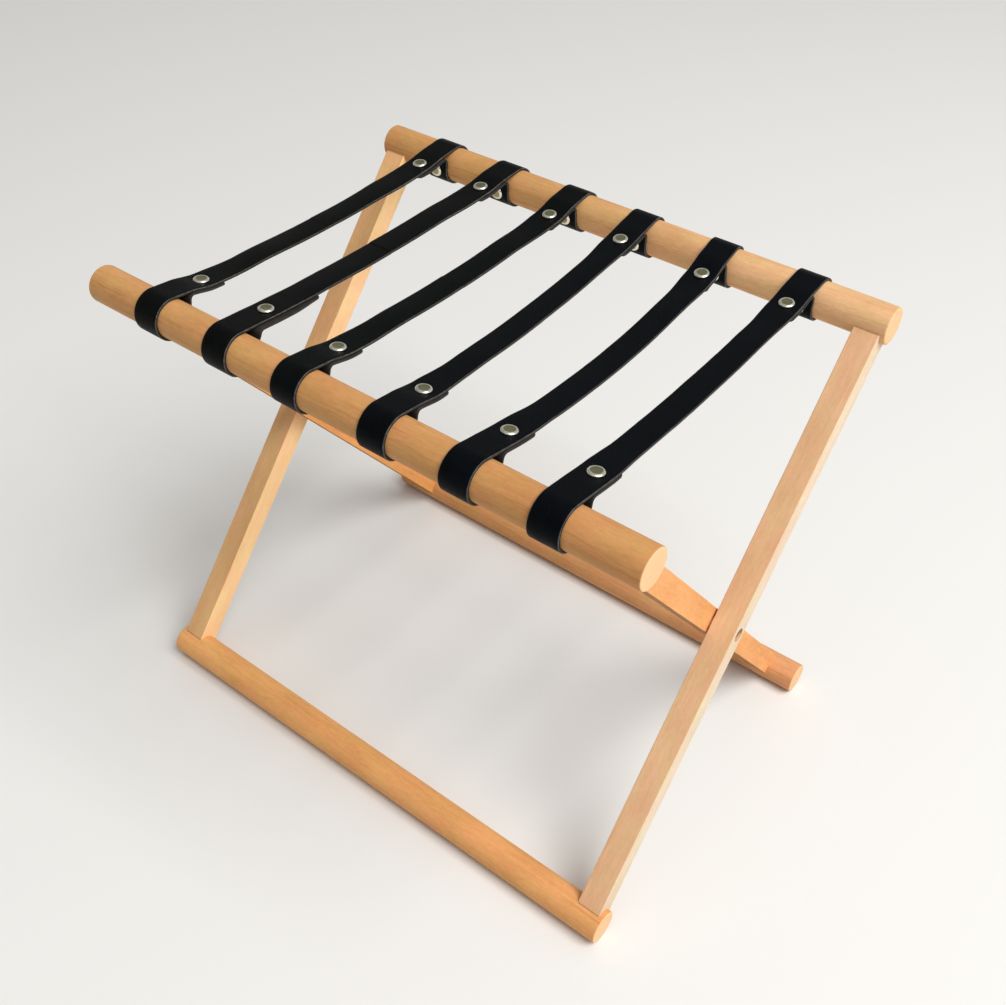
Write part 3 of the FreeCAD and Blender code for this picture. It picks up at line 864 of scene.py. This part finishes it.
class BENCH_OT_straps(bpy.types.Operator):
    """Build the six leather straps, each in two halves that meet at the middle"""

    bl_idname = "bench.straps"
    bl_label = "Straps"

    def execute(self, context):
        sizes = context.scene.bench_straps
        materials = [
            leather_face(tuple(sizes.left_black), tuple(sizes.right_black)),
            leather_arris_highlight(ARRIS_HIGHLIGHT_LEFT, ARRIS_HIGHLIGHT_RIGHT),
            leather_edge(tuple(sizes.edge_dark), tuple(sizes.edge_pale)),
            leather_back(NAP_DARK, NAP_PALE),
        ]
        for number, line in enumerate(STRAP_LINES):
            for side_name, side in SIDES.items():
                piece = strap_half(number, line, side_name, sizes, materials)
                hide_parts("strap_%d" % (number + 1))
                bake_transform(piece)
        return {"FINISHED"}


class BENCH_OT_rivets(bpy.types.Operator):
    """Build the rivets and the loop screws"""

    bl_idname = "bench.rivets"
    bl_label = "Rivets and screws"

    def execute(self, context):
        sizes = context.scene.bench_straps
        # One plating in two colours: painted highlight on the cap rims, painted shade on their faces
        rim = metal("cap_rim_highlight", tuple(sizes.rim), 0.16, 0.35)
        face = metal("cap_face_shade", tuple(sizes.brass), 0.20, 0.50)
        stack = 2 * sizes.leather + LAYER_GAP
        head = cap_head(sizes)
        for side_name, side in SIDES.items():
            rivets = [rivet_place(line, side, sizes) for line in STRAP_LINES]
            screws = [screw_place(line, side, sizes) for line in STRAP_LINES]
            for kind, profile, places, body in (
                ("rivet_caps", rivet_profile(head, stack), rivets, STRAP_BODY[side_name]),
                ("rivet_backs", back_profile(stack), rivets, STRAP_BODY[side_name]),
                ("loop_screws", screw_profile(head), screws, FRAME_BODY[side_name]),
            ):
                verts, faces, indices = [], [], []
                for place in places:
                    lathe(rounded(profile), place, sizes.cap_radius * FACE_SHARE, verts, faces, indices)
                node = side_name + "_" + kind
                piece = new_piece(node + "_turned", verts, faces, [rim, face], indices)
                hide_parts(node)
                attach(piece, body)
        return {"FINISHED"}


FLOOR_REACH, FLOOR_FADE = 12.0, 0.97
KEY_PLACE, KEY_AIM, KEY_SIZE, KEY_COLOUR = (3.3, -0.1, 5.0), (0, 0, 0.3), 3.6, (1.0, 0.985, 0.96)
SKY_COLOUR, SKY_TOWARD = (1.0, 0.99, 0.97, 1), (0.6, 0.1, 0.78)
BACKDROP_TOWARD, BACKDROP_LIGHT = (-0.8, 0.6, 0), 0.45

# The camera looks at a point a little right of the bench's middle and above it. Its focal length is in pixels
# of an image this wide
CAMERA_AZIMUTH, CAMERA_ELEVATION, CAMERA_ROLL = 37.022, 41.242, -1.365
CAMERA_DISTANCE, TARGET_HEIGHT, TARGET_RIGHT, TARGET_UP = 1.25715, 0.230, 0.012824, 0.02291
FOCAL_PIXELS, IMAGE_WIDTH, SENSOR_WIDTH, NEAREST = 1184.351, 1006, 36.0, 0.05


class BENCH_OT_stage(bpy.types.Operator):
    """Set up the floor, the soft lights and the camera"""

    bl_idname = "bench.stage"
    bl_label = "Stage"

    def execute(self, context):
        stage = context.scene.bench_stage
        f = Finish("studio_floor", Roughness=0.9, Specular_IOR_Level=0.1)
        drift = f.noise(f.place(), 3.0, 2.0)
        f.feed(Base_Color=f.mix(drift * 0.3, tuple(stage.floor), scaled(stage.floor, FLOOR_FADE)))
        corners = [(x * FLOOR_REACH, y * FLOOR_REACH, 0) for x, y in ((-1, -1), (1, -1), (1, 1), (-1, 1))]
        floor = new_piece("studio_floor", corners, [(0, 1, 2, 3)], [f.material])
        self.key_light(context, stage.key)
        self.surround(context, stage.sky, stage.dusk)
        self.camera(context)
        context.scene.view_settings.view_transform = "Standard"
        return {"FINISHED"}

    def key_light(self, context, power):
        lamp = bpy.data.lights.new("key", "AREA")
        lamp.size, lamp.energy, lamp.color = KEY_SIZE, power, KEY_COLOUR
        lamp_object = bpy.data.objects.new("key", lamp)
        lamp_object.location = KEY_PLACE
        aim = Vector(KEY_AIM) - Vector(KEY_PLACE)
        lamp_object.rotation_euler = aim.to_track_quat("-Z", "Y").to_euler()
        context.scene.collection.objects.link(lamp_object)

    def surround(self, context, sky, dusk):
        """A soft gradient, brighter above and at the right, with a pale backdrop low at the back left."""
        world = bpy.data.worlds.new("studio_surround")
        world.use_nodes = True
        n = Nodes(world.node_tree)
        heading = n.place("Generated")
        toward = n.along(heading, Vector(SKY_TOWARD).normalized())
        low = n.between(n.along(heading, (0, 0, 1)), 0.05, 0.55, 1.0, 0.0)
        backdrop = n.between(n.along(heading, BACKDROP_TOWARD), -0.1, 0.8) * low
        strength = n.between(toward, -0.5, 0.9, dusk, sky) + backdrop * BACKDROP_LIGHT
        light = n.node("ShaderNodeBackground", None, {"Color": SKY_COLOUR, "Strength": strength})
        n.node("ShaderNodeOutputWorld", None, {"Surface": light})
        context.scene.world = world

    def camera(self, context):
        """Look at the bench from the front right and above, a little rolled."""
        azimuth, elevation, roll = map(math.radians, (CAMERA_AZIMUTH, CAMERA_ELEVATION, CAMERA_ROLL))
        level = Vector((-math.sin(azimuth), math.cos(azimuth), 0))
        forward = level * math.cos(elevation) - Vector((0, 0, math.sin(elevation)))
        right = Vector((math.cos(azimuth), math.sin(azimuth), 0))
        up = right.cross(forward)
        target = Vector((0, 0, TARGET_HEIGHT)) + right * TARGET_RIGHT + up * TARGET_UP
        lens = bpy.data.cameras.new("camera")
        lens.sensor_width = SENSOR_WIDTH
        lens.lens = FOCAL_PIXELS * SENSOR_WIDTH / IMAGE_WIDTH
        lens.clip_start = NEAREST
        camera = bpy.data.objects.new("camera", lens)
        turned_right = right * math.cos(roll) - up * math.sin(roll)
        turned_up = right * math.sin(roll) + up * math.cos(roll)
        rotation = Matrix((turned_right, turned_up, -forward)).transposed()
        camera.matrix_world = Matrix.Translation(target - forward * CAMERA_DISTANCE) @ rotation.to_4x4()
        context.scene.collection.objects.link(camera)
        context.scene.camera = camera


class BENCH_PT_panel(bpy.types.Panel):
    """Luggage bench"""

    bl_idname = "BENCH_PT_panel"
    bl_label = "Luggage Bench"
    bl_space_type = "VIEW_3D"
    bl_region_type = "UI"
    bl_category = "Luggage Bench"

    def draw(self, context):
        for group_name, group in GROUPS.items():
            box = self.layout.box()
            for name in group.__annotations__:
                box.prop(getattr(context.scene, group_name), name)
        for operator in OPERATORS:
            self.layout.operator(operator.bl_idname)


GROUPS = {
    "bench_wood": LuggageBenchWood,
    "bench_straps": LuggageBenchStraps,
    "bench_stage": LuggageBenchStage,
}
OPERATORS = (
    BENCH_OT_stage,
    BENCH_OT_rails,
    BENCH_OT_legs,
    BENCH_OT_pivots,
    BENCH_OT_straps,
    BENCH_OT_rivets,
)


def register():
    for cls in (*GROUPS.values(), *OPERATORS, BENCH_PT_panel):
        bpy.utils.register_class(cls)
    for name, group in GROUPS.items():
        setattr(bpy.types.Scene, name, PointerProperty(type=group))


def unregister():
    for name in GROUPS:
        delattr(bpy.types.Scene, name)
    for cls in (BENCH_PT_panel, *reversed(OPERATORS), *reversed(GROUPS.values())):
        bpy.utils.unregister_class(cls)


def main():
    register()
    bpy.ops.bench.stage()
    bpy.ops.bench.rails()
    bpy.ops.bench.legs()
    bpy.ops.bench.pivots()
    bpy.ops.bench.straps()
    bpy.ops.bench.rivets()


if __name__ == "__main__":
    main()
